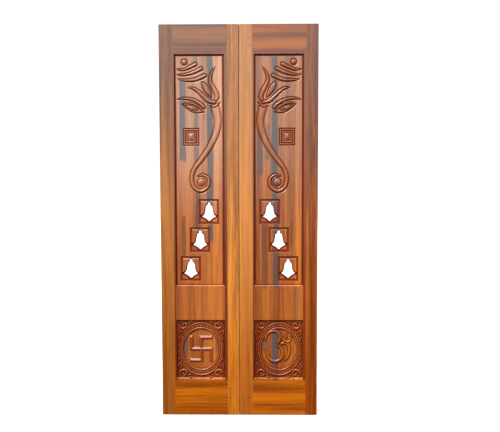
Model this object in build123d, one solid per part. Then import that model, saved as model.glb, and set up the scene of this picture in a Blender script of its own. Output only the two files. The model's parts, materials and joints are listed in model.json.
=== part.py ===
from build123d import *
import math
import os

# Carved temple door: a pair of teak leaves, hung on a plain frame that stands behind them.
# Millimetres. Seen from the carved side, X runs to the right and Z up, and that side faces -Y.
# The origin is on the floor, in the middle of the whole door's width and depth.

# Leaves
leaf_width = 411.0
leaf_height = 2055.0
leaf_thickness = 35.0
meeting_gap = 3.0
meeting_splay = 3.0
floor_gap = 4.0
left_stile_width = 70.0
right_stile_width = 61.0
top_rail_height = 142.0
bottom_rail_height = 186.0

# Mortise and tenon joints of the leaves, each drawn up with two square pegs
tenon_thickness = 12.0
tenon_length = 45.0
tenon_shoulder = 18.0
mortise_relief = 2.0
peg_size = 6.0
peg_from_shoulder = 16.0
top_peg_drops = (70.0, 106.0)
bottom_peg_rises = (90.0, 142.0)

# Centre board of each leaf, held by a tongue in a groove all round
board_thickness = 28.0
tongue_thickness = 9.0
tongue_depth = 10.0
tongue_set_back = 15.0

# Frame behind the leaves
jamb_face = 60.0
frame_depth = 90.0
head_height = 60.0
sill_height = 40.0
frame_inset = 14.0
frame_top_drop = 14.0
frame_tenon_thickness = 30.0
frame_tenon_length = 26.0
frame_tenon_shoulder = 10.0
anchor_hole_radius = 5.5
anchor_spacing = 1400.0
anchor_middle = 1022.5

# Hinges: a pin behind each leaf, just inside its outer edge
hinge_gap = 3.0
pin_inset = 8.0
hinge_height = 100.0
plate_width = 32.0
plate_thickness = 2.5
plate_slit = 0.5
knuckle_radius = 5.5
knuckle_clearance = 0.6
knuckle_end_gap = 0.3
pin_radius = 2.75
pin_clearance = 0.05
seat_clearance = 0.2
top_hinge_drop = 200.0
bottom_hinge_rise = 250.0

# Recesses routed into each centre board. The upper one fills what the margins and the lower leave
recess_left_margin = 7.0
recess_right_margin = 13.0
upper_recess_margin = 9.5
recess_band_height = 181.5
lower_recess_height = 319.0
lower_recess_margin = 8.0
upper_field_depth = 6.0
border_groove_depth = 9.5
border_groove_width = 9.0
recess_wall_run = 3.0
lower_recess_depth = 12.0

# Relief of the upper carving: strokes that stand on the sunk field, with sloping sides
crown_rise = 4.5
crown_share = 0.4
dome_extra = 1.0
carving_datum_drop = 4.0
overlap = 0.6

# Bell windows: a sunk frame with sloping sides and the bell cut through its floor
bell_frame_width = 108.0
bell_frame_height = 133.0
bell_frame_centres = ((177.0, 811.0), (129.5, 960.5), (79.5, 1113.5))
bell_frame_depth = 4.0
bell_frame_slope = 10.0
bell_half_height = 50.0
bell_side = ((6.5, 44), (7, 38), (12, 28), (18, 16), (21, 2), (25, -11), (35, -23))
bell_clapper = (9, -42)
bell_drop = 0.5

# Medallion of the lower carving
medallion_side_margin = 11.0
medallion_end_margin = 16.0
medallion_rise = 2.0
medallion_side_band = 25.0
medallion_end_band = 36.0
rim_slope = 2.0
rim_level = -5.0
medallion_field_level = -10.5
symbol_level = -3.0
bead_count = 24
bead_length = 16.0
bead_width = 12.0
bead_share = 0.5
bead_level = -3.0
ornament_level = -4.0

# Places worked out from the sizes above
front_y = -(leaf_thickness + hinge_gap + frame_depth) / 2
back_y = front_y + leaf_thickness
frame_front_y = back_y + hinge_gap
frame_back_y = frame_front_y + frame_depth
leaf_top = floor_gap + leaf_height
half_width = meeting_gap / 2 + leaf_width
frame_half = half_width - frame_inset
frame_top = leaf_top - frame_top_drop
head_bottom = frame_top - head_height
pin_x = half_width - pin_inset
pin_y = back_y + hinge_gap / 2
leaf_middle = floor_gap + leaf_height / 2
hinge_heights = (floor_gap + bottom_hinge_rise, leaf_middle, leaf_top - top_hinge_drop)
hinge_names = ("bottom", "middle", "top")
board_left = left_stile_width
board_width = leaf_width - left_stile_width - right_stile_width
board_height = leaf_height - top_rail_height - bottom_rail_height
recess_left = left_stile_width + recess_left_margin
recess_width = board_width - recess_left_margin - recess_right_margin
lower_recess_bottom = bottom_rail_height + lower_recess_margin
lower_recess_top = lower_recess_bottom + lower_recess_height
upper_recess_bottom = lower_recess_top + recess_band_height
upper_recess_top = leaf_height - top_rail_height - upper_recess_margin
upper_recess_height = upper_recess_top - upper_recess_bottom
medallion_half_width = recess_width / 2 - medallion_side_margin
medallion_half_height = lower_recess_height / 2 - medallion_end_margin
medallion_field_half_width = medallion_half_width - medallion_side_band
medallion_field_half_height = medallion_half_height - medallion_end_band
left_leaf_x = -half_width
right_leaf_x = meeting_gap / 2


# Small helpers for square timber

def block(x_from, x_to, y_from, y_to, z_from, z_to):
    """A square-edged timber between two corners."""
    size = (x_to - x_from, y_to - y_from, z_to - z_from)
    return Pos(x_from, y_from, z_from) * Box(*size, align=(Align.MIN, Align.MIN, Align.MIN))


def post(plan, height):
    """A post that stands on the level of its plan, seen from above."""
    return extrude(make_face(Polyline(*plan, close=True)), height, dir=(0, 0, 1))


def mirrored(shape):
    """The same piece on the other side of the door."""
    return mirror(shape, about=Plane.YZ)


# Helpers for carving, drawn face up: X to the right, Y up, Z out of the board

def frustum(low_face, high_face):
    """A solid with straight sloping walls between two outlines of the same make-up."""
    return loft([low_face, high_face], ruled=True)


def rectangle_at(centre, width, height, level):
    return Pos(centre[0], centre[1], level) * Rectangle(width, height).face()


def square_frustum(centre, width, height, low_level, high_level, run):
    """A square-edged boss or pocket whose upper outline is wider than the lower by run a side."""
    low = rectangle_at(centre, width, height, low_level)
    high = rectangle_at(centre, width + 2 * run, height + 2 * run, high_level)
    return frustum(low, high)


def ellipse_frustum(half_x, half_y, low_level, high_level, run):
    """An oval boss or pocket about the origin, wider at the top by run all round."""
    low = Pos(0, 0, low_level) * Ellipse(half_x, half_y).face()
    high = Pos(0, 0, high_level) * Ellipse(half_x + run, half_y + run).face()
    return frustum(low, high)


def stroke_face(points, half_widths, share, level):
    """The outline of one carved stroke: its centre line, with a half width at each point.

    An end with no width comes to a point, and any other end is round.
    """
    centres = [Vector(x, y) for x, y in points]
    last = len(centres) - 1
    left, right, directions = [], [], []
    for i, centre in enumerate(centres):
        along = (centres[min(i + 1, last)] - centres[max(i - 1, 0)]).normalized()
        across = Vector(-along.Y, along.X) * half_widths[i] * share
        directions.append(along)
        left.append(centre + across)
        right.append(centre - across)
    edges = [Spline(*left), Spline(*reversed(right))]
    if half_widths[last]:
        tip = centres[last] + directions[last] * half_widths[last] * share
        edges.insert(1, ThreePointArc(left[last], tip, right[last]))
    if half_widths[0]:
        tip = centres[0] - directions[0] * half_widths[0] * share
        edges.append(ThreePointArc(right[0], tip, left[0]))
    return Pos(0, 0, level) * Face(Wire(edges))


def stroke_crown(points, half_widths, foot_level, crown_level):
    """The raised bead of a stroke, with sloping sides and a narrow top."""
    foot = stroke_face(points, half_widths, 1.0, foot_level)
    top = stroke_face(points, half_widths, crown_share, crown_level)
    return frustum(foot, top)


def leaf_face(upper, lower, share, level):
    """A leaf-shaped outline between two curves that share their first and last points."""
    points = [Vector(x, y) for x, y in upper + lower[1:-1]]
    centre = sum(points, Vector(0, 0)) / len(points)

    def moved(point):
        return centre + (Vector(*point) - centre) * share

    upper_edge = Spline(*[moved(p) for p in upper])
    lower_edge = Spline(*[moved(p) for p in reversed(lower)])
    return Pos(0, 0, level) * Face(Wire([upper_edge, lower_edge]))


def leaf_crown(upper, lower, foot_level, crown_level, share):
    """A raised leaf, with sides that slope in to a smaller leaf on top."""
    foot = leaf_face(upper, lower, 1.0, foot_level)
    top = leaf_face(upper, lower, share, crown_level)
    return frustum(foot, top)


def dome(centre, radius, foot_level, crown_level):
    """A low round boss."""
    height = crown_level - foot_level
    ball_radius = (radius**2 + height**2) / (2 * height)
    profile = Plane.XZ * (
        Polyline((radius, 0), (0, 0), (0, height))
        + RadiusArc((0, height), (radius, 0), ball_radius)
    )
    return Pos(centre[0], centre[1], foot_level) * revolve(make_face(profile), Axis.Z)


# Upper carving: the line drawing of an elephant-headed deity, with the trunk ending in a curl.
# Points are (right, down) from the left side of the recess and the bottom of its top groove,
# for a recess of the drawn size, and are stretched with it.
upper_drawn_size = (260.0, 1209.0)

forehead_lines = (
    (((8, 72.5), (53, 73.9), (84, 60.9), (112, 47.3)), (0, 5, 8, 9)),
    (((10, 99.6), (58, 99.6), (100, 88.9), (141, 69.6)), (0, 5, 8, 9)),
    (((16, 120), (63, 128.7), (110, 125.8), (160, 105.4)), (0, 5, 8, 9)),
)
forehead_dot = (53.6, 36.2)
forehead_dot_radius = 15.0
right_petal = (
    ((215, 59.9), (194, 94.8), (188, 128.7), (199, 159.7), (216, 189.9), (222, 219.1), (206, 244.4)),
    (0, 5, 8, 9, 10, 11, 0),
)
left_petal = (
    ((70, 166.5), (103, 171.4), (131, 191.8), (156, 215.2), (180, 234.7), (210, 242.5)),
    (0, 6, 8, 9, 10, 0),
)
bud_left_side = ((146, 136.4), (147, 166.5), (164, 193.8), (190, 215.2))
bud_right_side = ((146, 136.4), (170, 152.9), (185, 181.1), (190, 215.2))
collar = (((186, 263.9), (213, 261), (239, 240.5)), (0, 6, 0))
trunk = (
    (
        (214, 269.8), (226, 336.2), (216, 402.9), (181, 477.6), (139, 538.7), (103, 585.9), (88, 636.6),
        (100, 683.2), (136, 702.1), (172, 680.2), (176, 640.5), (150, 619),
    ),
    (20, 18, 16, 14, 12, 10, 9, 9, 9, 8, 7, 0),
)
trunk_ball = (138, 656.4)
trunk_ball_radius = 22.0
brow = (((9, 228.8), (58, 222), (100, 229.8), (137, 250.3), (156, 267.8)), (0, 5, 7, 8, 7))
eye_upper = ((48, 254.2), (89, 251.2), (124, 265.9), (147, 290.3))
eye_lower = ((48, 254.2), (71, 281.5), (108, 300), (147, 290.3))
eye_share = 0.6
bud_share = 0.35
square_centre = (87, 420.6)
square_outer = (82, 97)
square_ring_gap = 7.0
square_ring_width = 6.0
square_slope = 2.0
square_depth = 3.0

# Lower carving: a hooked scroll and leaves in each corner, one symbol on each leaf of the door.
# The corner is drawn from the recess's own corner and the Om sign from the medallion's middle.
lower_drawn_size = (260.0, 319.0)
drawn_field_half = (94.0, 107.5)
corner_scroll_centre = (34.0, 30.0)
corner_scroll_radii = (9.0, 22.0)
corner_scroll_turns = 0.62
corner_scroll_widths = (0, 4, 5.5, 5, 0)
corner_leaves = (
    (((14, 51.2), (6, 75.8), (14, 104.4)), ((14, 51.2), (24, 75.8), (14, 104.4))),
    (((52, 10.2), (74, 5.1), (98, 9.2)), ((52, 10.2), (72, 20.5), (98, 9.2))),
)
leaf_share = 0.3
swastika_grid = (26.0, 28.0)
swastika_slope = 9.0
om_strokes = (
    (
        ((-63.5, 33.8), (-68.5, 62.5), (-55.5, 85), (-33.5, 96.3), (-10.5, 93.2), (5.5, 74.8), (5.5, 48.1), (-19.5, 21.5)),
        (0, 6, 7, 8, 8, 8, 7, 0),
    ),
    (
        (
            (-19.5, 27.6), (8.5, 9.2), (20.5, -14.3), (18.5, -39.9), (4.5, -59.4), (-18.5, -67.6),
            (-41.5, -60.4), (-55.5, -42), (-59.5, -19.5), (-81.5, 1),
        ),
        (0, 7, 8, 8, 8, 8, 8, 7, 6, 0),
    ),
    (
        ((-3.5, 19.5), (22.5, 32.8), (43.5, 27.6), (55.5, 8.2), (55.5, -19.5), (46.5, -46.1), (28.5, -68.6)),
        (0, 7, 8, 8, 7, 6, 0),
    ),
    (((24.5, 64.5), (31.5, 45.1), (44.5, 38.9), (58.5, 46.1), (65.5, 68.6)), (0, 5, 6, 5, 0)),
)
om_dot_left_side = ((42.5, 78.8), (34.5, 64.5), (42.5, 56.3))
om_dot_right_side = ((42.5, 78.8), (50.5, 64.5), (42.5, 56.3))


def stretched(points, size, drawn_size):
    """Drawing points for a place of another size than the drawn one."""
    across, along = size[0] / drawn_size[0], size[1] / drawn_size[1]
    return [(u * across, v * along) for u, v in points]


def upper_points(points, turned):
    """Points of the upper drawing as (x, y) with y up, turned left for right on the right leaf."""
    places = stretched(points, (recess_width, upper_recess_height), upper_drawn_size)
    if turned:
        return [(recess_width - u, -v) for u, v in places]
    return [(u, -v) for u, v in places]


def corner_points(points):
    """Points of the corner ornament as (x, y) with y up."""
    places = stretched(points, (recess_width, lower_recess_height), lower_drawn_size)
    return [(u, -v) for u, v in places]


def om_points(points):
    """Points of the Om sign, about the middle of the medallion's field."""
    field_half = (medallion_field_half_width, medallion_field_half_height)
    return stretched(points, field_half, drawn_field_half)


def bell_face(centre, level):
    """A hanging bell: a narrow crown, flared skirt and the point of its clapper."""
    x, y = centre[0], centre[1] - bell_drop
    right = [Vector(x + across, y + up) for across, up in bell_side]
    left = [Vector(x - across, y + up) for across, up in bell_side]
    clapper_right = Vector(x + bell_clapper[0], y + bell_clapper[1])
    clapper_left = Vector(x - bell_clapper[0], y + bell_clapper[1])
    edges = [
        Spline(*right),
        Line(right[-1], clapper_right),
        ThreePointArc(clapper_right, (x, y - bell_half_height), clapper_left),
        Line(clapper_left, left[-1]),
        Spline(*reversed(left)),
        ThreePointArc(left[0], (x, y + bell_half_height), right[0]),
    ]
    return Pos(0, 0, level) * Face(Wire(edges))


def bell_cuts(centre, ground):
    """The sunk frame and the bell itself, cut right through."""
    frame = square_frustum(
        centre,
        bell_frame_width - 2 * bell_frame_slope,
        bell_frame_height - 2 * bell_frame_slope,
        ground - bell_frame_depth,
        ground,
        bell_frame_slope,
    )
    window = extrude(
        bell_face(centre, -board_thickness - 1), board_thickness + 2, dir=(0, 0, 1)
    )
    return [frame, window]


def square_motif(centre, ground):
    """Square rings one inside the other round a small pyramid, standing in a sunk square."""
    floor = ground - square_depth
    width, height = square_outer
    pocket = square_frustum(
        centre, width - 2 * square_slope, height - 2 * square_slope, floor, ground, square_slope
    )
    motif = None
    for _ in range(2):
        width, height = width - 2 * square_ring_gap, height - 2 * square_ring_gap
        ring = square_frustum(centre, width, height, floor - overlap, ground, -square_slope)
        width, height = width - 2 * square_ring_width, height - 2 * square_ring_width
        hollow = square_frustum(centre, width, height, floor, ground + overlap, square_slope)
        motif = ring - hollow if motif is None else motif + (ring - hollow)
    width, height = width - square_ring_gap, height - square_ring_gap
    motif += square_frustum(centre, width, height, floor - overlap, ground, -0.4 * width)
    return pocket, motif


def upper_carving(turned):
    """What is cut from the upper field and what is raised in it."""
    ground = -upper_field_depth
    foot = ground - overlap
    crown = ground + crown_rise
    cuts, bosses = [], []
    for points, widths in forehead_lines + (right_petal, left_petal, collar, trunk, brow):
        bosses.append(stroke_crown(upper_points(points, turned), widths, foot, crown))
    for sides, share in (
        ((bud_left_side, bud_right_side), bud_share),
        ((eye_upper, eye_lower), eye_share),
    ):
        upper, lower = [upper_points(side, turned) for side in sides]
        bosses.append(leaf_crown(upper, lower, foot, crown, share))
    for centre, radius in (
        (forehead_dot, forehead_dot_radius),
        (trunk_ball, trunk_ball_radius),
    ):
        bosses.append(dome(upper_points([centre], turned)[0], radius, foot, crown + dome_extra))
    pocket, motif = square_motif(upper_points([square_centre], turned)[0], ground)
    cuts.append(pocket)
    bosses.append(motif)
    for centre in bell_frame_centres:
        cuts += bell_cuts(upper_points([centre], turned)[0], ground)
    return cuts, bosses


def swastika(level):
    """The symbol of well-being, upright and turning right, with roof-shaped arms."""
    col, row = swastika_grid
    bars = (
        ((0, 0), (1, 5)), ((0, 0), (5, 1)),
        ((1, 2), (3, 1)), ((-1, -2), (3, 1)),
        ((2, -1), (1, 3)), ((-2, 1), (1, 3)),
    )
    outline = Sketch()
    for (across, up), (wide, high) in bars:
        outline += Pos(across * col, up * row) * Rectangle(wide * col, high * row)
    return Pos(0, 0, level) * extrude(
        outline, symbol_level - level, taper=math.degrees(math.atan(swastika_slope / 7.6))
    )


def om_sign(level):
    """The sacred syllable as four ridged strokes and a drop."""
    pieces = []
    for points, widths in om_strokes:
        pieces.append(stroke_crown(om_points(points), widths, level, symbol_level))
    sides = om_points(om_dot_left_side), om_points(om_dot_right_side)
    pieces.append(leaf_crown(*sides, level, symbol_level, leaf_share))
    return pieces


def medallion(symbol):
    """An oval band with a row of beads on it and a symbol in its sunk field."""
    a, b = medallion_half_width, medallion_half_height
    disc = ellipse_frustum(a, b, -lower_recess_depth - overlap, rim_level, -rim_slope)
    field_a, field_b = medallion_field_half_width, medallion_field_half_height
    disc -= ellipse_frustum(field_a, field_b, medallion_field_level, rim_level, rim_slope)
    bead_a, bead_b = (a + field_a) / 2, (b + field_b) / 2
    beads = []
    for i in range(bead_count):
        turn = 2 * math.pi * i / bead_count
        slope = math.atan2(bead_b * math.cos(turn), -bead_a * math.sin(turn))
        place = Pos(bead_a * math.cos(turn), bead_b * math.sin(turn), rim_level - overlap)
        bead = frustum(
            Rectangle(bead_length, bead_width).face(),
            Pos(0, 0, bead_level - rim_level + overlap)
            * Rectangle(bead_length * bead_share, bead_width * bead_share).face(),
        )
        beads.append(place * Rot(0, 0, math.degrees(slope)) * bead)
    foot = medallion_field_level - overlap
    figures = om_sign(foot) if symbol == "om" else [swastika(foot)]
    return disc + beads + figures


def corner_ornament():
    """One corner's hooked scroll and leaves, drawn for the top left corner."""
    foot = -lower_recess_depth - overlap
    inner, outer = corner_scroll_radii
    last = len(corner_scroll_widths) - 1
    points = []
    for i in range(last + 1):
        share = i / last
        turn = 2 * math.pi * (0.1 + corner_scroll_turns * (1 - share))
        radius = inner + (outer - inner) * share
        points.append(
            (
                corner_scroll_centre[0] + radius * math.cos(turn),
                corner_scroll_centre[1] + radius * math.sin(turn),
            )
        )
    pieces = [stroke_crown(corner_points(points), corner_scroll_widths, foot, ornament_level)]
    for upper, lower in corner_leaves:
        sides = corner_points(upper), corner_points(lower)
        pieces.append(leaf_crown(*sides, foot, ornament_level, leaf_share))
    return pieces


def lower_carving(symbol):
    """The medallion with an ornament in each corner of the recess, about the recess centre."""
    centre = Pos(recess_width / 2, -lower_recess_height / 2, 0)
    corner = [centre.inverse() * piece for piece in corner_ornament()]
    pieces = []
    for piece in corner:
        right = mirror(piece, about=Plane.YZ)
        pieces += [piece, right, mirror(piece, about=Plane.XZ), mirror(right, about=Plane.XZ)]
    ornaments = [centre * piece for piece in pieces]
    round_field = centre * Pos(0, medallion_rise, 0) * medallion(symbol)
    return ornaments, round_field


def carved_board(leaf_x, symbol, turned):
    """The glued-up centre board of a leaf, with both recesses and all their carving."""
    plank = block(
        board_left, board_left + board_width,
        0, board_thickness,
        bottom_rail_height, bottom_rail_height + board_height,
    )
    plank += block(
        board_left - tongue_depth, board_left + board_width + tongue_depth,
        tongue_set_back, tongue_set_back + tongue_thickness,
        bottom_rail_height - tongue_depth, bottom_rail_height + board_height + tongue_depth,
    )
    upper_place = Plane(
        origin=(recess_left, 0, upper_recess_top), x_dir=(1, 0, 0), z_dir=(0, -1, 0)
    )
    lower_place = Plane(
        origin=(recess_left, 0, lower_recess_top), x_dir=(1, 0, 0), z_dir=(0, -1, 0)
    )
    upper_centre = (recess_width / 2, -upper_recess_height / 2)
    groove_low = (recess_width - 2 * recess_wall_run, upper_recess_height - 2 * recess_wall_run)
    recess = square_frustum(upper_centre, *groove_low, -border_groove_depth, 0, recess_wall_run)
    inner = (
        recess_width - 2 * border_groove_width,
        upper_recess_height - 2 * border_groove_width,
    )
    slope = border_groove_width - recess_wall_run
    field_foot = (inner[0] + 2 * slope, inner[1] + 2 * slope)
    field = square_frustum(
        upper_centre, *field_foot, -border_groove_depth, -upper_field_depth, -slope
    )
    lower_centre = (recess_width / 2, -lower_recess_height / 2)
    lower_low = (recess_width - 2 * recess_wall_run, lower_recess_height - 2 * recess_wall_run)
    lower_recess = square_frustum(
        lower_centre, *lower_low, -lower_recess_depth, 0, recess_wall_run
    )
    board = plank - [upper_place.location * (recess - field), lower_place.location * lower_recess]
    cuts, bosses = upper_carving(turned)
    datum = upper_place.location * Pos(0, -carving_datum_drop, 0)
    board = board - [datum * cut for cut in cuts]
    ornaments, round_field = lower_carving(symbol)
    raised = [datum * boss for boss in bosses]
    raised += [lower_place.location * piece for piece in ornaments + [round_field]]
    board = board + raised
    return Pos(leaf_x, front_y, floor_gap) * board


# Leaf timbers, drawn from the leaf's own lower left front corner and then moved into place

def rail(z_from, z_to, tenon_from, tenon_to, groove_z, leaf_x):
    """A rail with a stub tenon at each end and a groove for the board's tongue."""
    left = left_stile_width
    right = leaf_width - right_stile_width
    tenon_y = (leaf_thickness - tenon_thickness) / 2
    timber = block(left, right, 0, leaf_thickness, z_from, z_to)
    timber += block(
        left - tenon_length, right + tenon_length,
        tenon_y, tenon_y + tenon_thickness, tenon_from, tenon_to,
    )
    timber -= block(
        left, right, tongue_set_back, tongue_set_back + tongue_thickness, *groove_z
    )
    return Pos(leaf_x, front_y, floor_gap) * timber


def peg_places(leaf_x):
    """Where the pegs of one leaf's four joints go, as (x, z)."""
    left = left_stile_width - peg_from_shoulder
    right = leaf_width - right_stile_width + peg_from_shoulder
    heights = [leaf_height - drop for drop in top_peg_drops] + list(bottom_peg_rises)
    return [(leaf_x + x, floor_gap + z) for x in (left, right) for z in heights]


def peg(x, z):
    half = peg_size / 2
    return block(x - half, x + half, front_y, back_y, z - half, z + half)


def stile(x_from, x_to, inner_side, splay, leaf_x):
    """A full-height stile with its mortises and the groove between them.

    The outer edge of a meeting stile slants, so that no light shows between the closed leaves.
    """
    left_splay, right_splay = (0, splay) if inner_side < 0 else (splay, 0)
    timber = post(
        (
            (x_from, 0), (x_to, 0),
            (x_to + right_splay, leaf_thickness), (x_from + left_splay, leaf_thickness),
        ),
        leaf_height,
    )
    depth = tenon_length + mortise_relief
    tenon_y = (leaf_thickness - tenon_thickness) / 2
    mortise_x = (x_to - depth, x_to) if inner_side > 0 else (x_from, x_from + depth)
    groove_x = (x_to - tongue_depth, x_to) if inner_side > 0 else (x_from, x_from + tongue_depth)
    for z_from, z_to in (bottom_tenon, top_tenon):
        timber -= block(*mortise_x, tenon_y, tenon_y + tenon_thickness, z_from, z_to)
    timber -= block(
        *groove_x,
        tongue_set_back, tongue_set_back + tongue_thickness,
        bottom_rail_height - tongue_depth, bottom_rail_height + board_height + tongue_depth,
    )
    return Pos(leaf_x, front_y, floor_gap) * timber


bottom_tenon = (tenon_shoulder, bottom_rail_height - tenon_shoulder)
top_tenon = (
    leaf_height - top_rail_height + tenon_shoulder,
    leaf_height - tenon_shoulder,
)


# Hinges, drawn for the left leaf about the pin: the plates run to +X, with the leaf's in front

def hinge_plate(z_from, z_to, y_from, y_to):
    """One plate of a lift-off hinge, with the one knuckle that it carries, bored for the pin."""
    root = knuckle_radius + knuckle_clearance
    base = (Align.CENTER, Align.CENTER, Align.MIN)
    tube = Pos(0, 0, z_from) * Cylinder(knuckle_radius, z_to - z_from, align=base)
    bore = Pos(0, 0, z_from) * Cylinder(pin_radius + pin_clearance, z_to - z_from, align=base)
    plate = block(root, plate_width, y_from, y_to, 0, hinge_height)
    plate += block(0, root, y_from, y_to, z_from, z_to)
    return plate + tube - bore


def hinge():
    """The frame plate, the leaf plate and the pin of one hinge, its foot at Z 0."""
    middle = hinge_height / 2
    near = plate_slit / 2
    far = near + plate_thickness
    on_frame = hinge_plate(0, middle - knuckle_end_gap / 2, near, far)
    on_leaf = hinge_plate(middle + knuckle_end_gap / 2, hinge_height, -far, -near)
    rod = Cylinder(pin_radius, hinge_height, align=(Align.CENTER, Align.CENTER, Align.MIN))
    return on_frame, on_leaf, rod


def leaf_hinge_seats():
    """What the three hinges take out of the back of the left leaf."""
    seats = []
    clear = knuckle_radius + knuckle_clearance
    plate_back = pin_y - plate_slit / 2 - plate_thickness
    for middle in hinge_heights:
        foot, top = middle - hinge_height / 2, middle + hinge_height / 2
        seats.append(
            block(
                -pin_x - clear, -pin_x + clear, pin_y - clear, back_y,
                foot - seat_clearance, top + seat_clearance,
            )
        )
        seats.append(
            block(
                -pin_x, -pin_x + plate_width + seat_clearance, plate_back, back_y,
                foot - seat_clearance, top + seat_clearance,
            )
        )
    return seats


def frame_hinge_seats():
    """What the three hinges take out of the front of the left jamb."""
    seats = []
    plate_back = pin_y + plate_slit / 2 + plate_thickness
    for middle in hinge_heights:
        foot, top = middle - hinge_height / 2, middle + hinge_height / 2
        seats.append(
            block(
                -frame_half, -pin_x + plate_width + seat_clearance, frame_front_y, plate_back,
                foot - seat_clearance, top + seat_clearance,
            )
        )
    return seats


# Frame timbers

def frame_tenon_box(z_from, z_to):
    """The tenon at an end of the left jamb, and the mortise that takes it."""
    middle_y = (frame_front_y + frame_back_y) / 2
    return block(
        -frame_half + frame_tenon_shoulder,
        -frame_half + jamb_face - frame_tenon_shoulder,
        middle_y - frame_tenon_thickness / 2,
        middle_y + frame_tenon_thickness / 2,
        z_from,
        z_to,
    )


def left_jamb():
    jamb = block(
        -frame_half, -frame_half + jamb_face, frame_front_y, frame_back_y, sill_height, head_bottom
    )
    jamb += frame_tenon_box(sill_height - frame_tenon_length, sill_height)
    jamb += frame_tenon_box(head_bottom, head_bottom + frame_tenon_length)
    for seat in frame_hinge_seats():
        jamb -= seat
    middle_y = (frame_front_y + frame_back_y) / 2
    for offset in (-anchor_spacing / 2, 0, anchor_spacing / 2):
        hole = Cylinder(anchor_hole_radius, jamb_face + 2, rotation=(0, 90, 0))
        jamb -= Pos(-frame_half + jamb_face / 2, middle_y, anchor_middle + offset) * hole
    return jamb


def cross_timber(z_from, z_to, tenon_from, tenon_to):
    """The head or the sill, as wide as the frame, with a mortise for each jamb."""
    timber = block(-frame_half, frame_half, frame_front_y, frame_back_y, z_from, z_to)
    mortise = frame_tenon_box(tenon_from, tenon_to)
    return timber - mortise - mirrored(mortise)


parts = {}

left_side_jamb = left_jamb()
parts["frame_left_jamb"] = left_side_jamb
parts["frame_right_jamb"] = mirrored(left_side_jamb)
parts["frame_head"] = cross_timber(
    head_bottom, frame_top, head_bottom, head_bottom + frame_tenon_length + mortise_relief
)
parts["frame_sill"] = cross_timber(
    0, sill_height, sill_height - frame_tenon_length - mortise_relief, sill_height
)

frame_plate, leaf_plate, pin = hinge()
for hinge_name, middle in zip(hinge_names, hinge_heights):
    place = Pos(-pin_x, pin_y, middle - hinge_height / 2)
    for piece_name, piece in (
        ("frame_plate", frame_plate),
        ("leaf_plate", leaf_plate),
        ("pin", pin),
    ):
        placed = place * piece
        parts[f"left_{hinge_name}_hinge_{piece_name}"] = placed
        parts[f"right_{hinge_name}_hinge_{piece_name}"] = mirrored(placed)

left_seats = leaf_hinge_seats()
right_seats = [mirrored(seat) for seat in left_seats]
top_rail_from = leaf_height - top_rail_height
for side, leaf_x, symbol, splays, seats in (
    ("left", left_leaf_x, "swastika", (0, meeting_splay), left_seats),
    ("right", right_leaf_x, "om", (meeting_splay, 0), right_seats),
):
    pegs = [peg(x, z) for x, z in peg_places(leaf_x)]
    left_stile = stile(0, left_stile_width, 1, splays[0], leaf_x)
    right_stile = stile(leaf_width - right_stile_width, leaf_width, -1, splays[1], leaf_x)
    top_rail = rail(
        top_rail_from, leaf_height, *top_tenon, (top_rail_from, top_rail_from + tongue_depth), leaf_x
    )
    bottom_rail = rail(
        0, bottom_rail_height, *bottom_tenon,
        (bottom_rail_height - tongue_depth, bottom_rail_height), leaf_x,
    )
    hinge_stile, meeting_stile = left_stile, right_stile
    if side == "right":
        hinge_stile, meeting_stile = right_stile, left_stile
    parts[f"{side}_leaf_hinge_stile"] = hinge_stile - seats - pegs
    parts[f"{side}_leaf_meeting_stile"] = meeting_stile - pegs
    parts[f"{side}_leaf_top_rail"] = top_rail - pegs
    parts[f"{side}_leaf_bottom_rail"] = bottom_rail - pegs
    parts[f"{side}_leaf_carved_board"] = carved_board(leaf_x, symbol, side == "right")
    parts[f"{side}_leaf_joint_pegs"] = Compound(children=pegs)

os.makedirs("parts", exist_ok=True)
for name, shape in parts.items():
    export_step(shape, f"parts/{name}.step")
print(len(parts), "pieces written")
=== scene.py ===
# %% [markdown]
# A carved temple door: two tall teak leaves under a thick glossy varnish, in front of a plain frame.
# The joinery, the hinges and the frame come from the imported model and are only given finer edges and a
# finish. The two carved boards are modelled again here, because their relief is what the eye goes to.

# %% Loading the frame
import math

import bpy
import json
import numpy as np
from mathutils import Matrix, Vector

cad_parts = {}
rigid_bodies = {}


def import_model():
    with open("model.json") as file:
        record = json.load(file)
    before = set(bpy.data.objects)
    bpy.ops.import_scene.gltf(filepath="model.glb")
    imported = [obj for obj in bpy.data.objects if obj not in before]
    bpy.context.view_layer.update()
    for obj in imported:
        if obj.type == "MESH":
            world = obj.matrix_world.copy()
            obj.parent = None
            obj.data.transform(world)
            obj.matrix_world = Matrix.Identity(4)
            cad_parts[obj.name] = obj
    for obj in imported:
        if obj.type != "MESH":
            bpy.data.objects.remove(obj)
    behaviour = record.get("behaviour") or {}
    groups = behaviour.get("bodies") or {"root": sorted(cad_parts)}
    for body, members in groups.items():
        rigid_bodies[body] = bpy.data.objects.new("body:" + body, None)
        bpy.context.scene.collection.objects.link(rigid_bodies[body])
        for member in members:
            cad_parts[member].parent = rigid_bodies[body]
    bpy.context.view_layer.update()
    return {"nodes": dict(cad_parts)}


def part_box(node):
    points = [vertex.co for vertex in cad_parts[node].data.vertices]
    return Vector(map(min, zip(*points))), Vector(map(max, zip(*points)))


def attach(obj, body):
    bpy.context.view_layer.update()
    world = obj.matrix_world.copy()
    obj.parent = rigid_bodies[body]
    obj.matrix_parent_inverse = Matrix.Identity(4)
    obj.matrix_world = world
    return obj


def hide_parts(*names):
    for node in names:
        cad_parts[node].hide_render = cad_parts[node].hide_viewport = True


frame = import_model()

# %% [markdown]
# Every operator acts on what is selected, so each helper here starts from a clean selection. They are
# the hand movements that come back all the time.

# %% Hand movements
MM = 0.001


def pick(*objects):
    """Selects these objects alone and makes the last of them active."""
    for other in bpy.context.view_layer.objects:
        other.select_set(False)
    for obj in objects:
        obj.select_set(True)
    bpy.context.view_layer.objects.active = objects[-1]
    return objects[-1]


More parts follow.
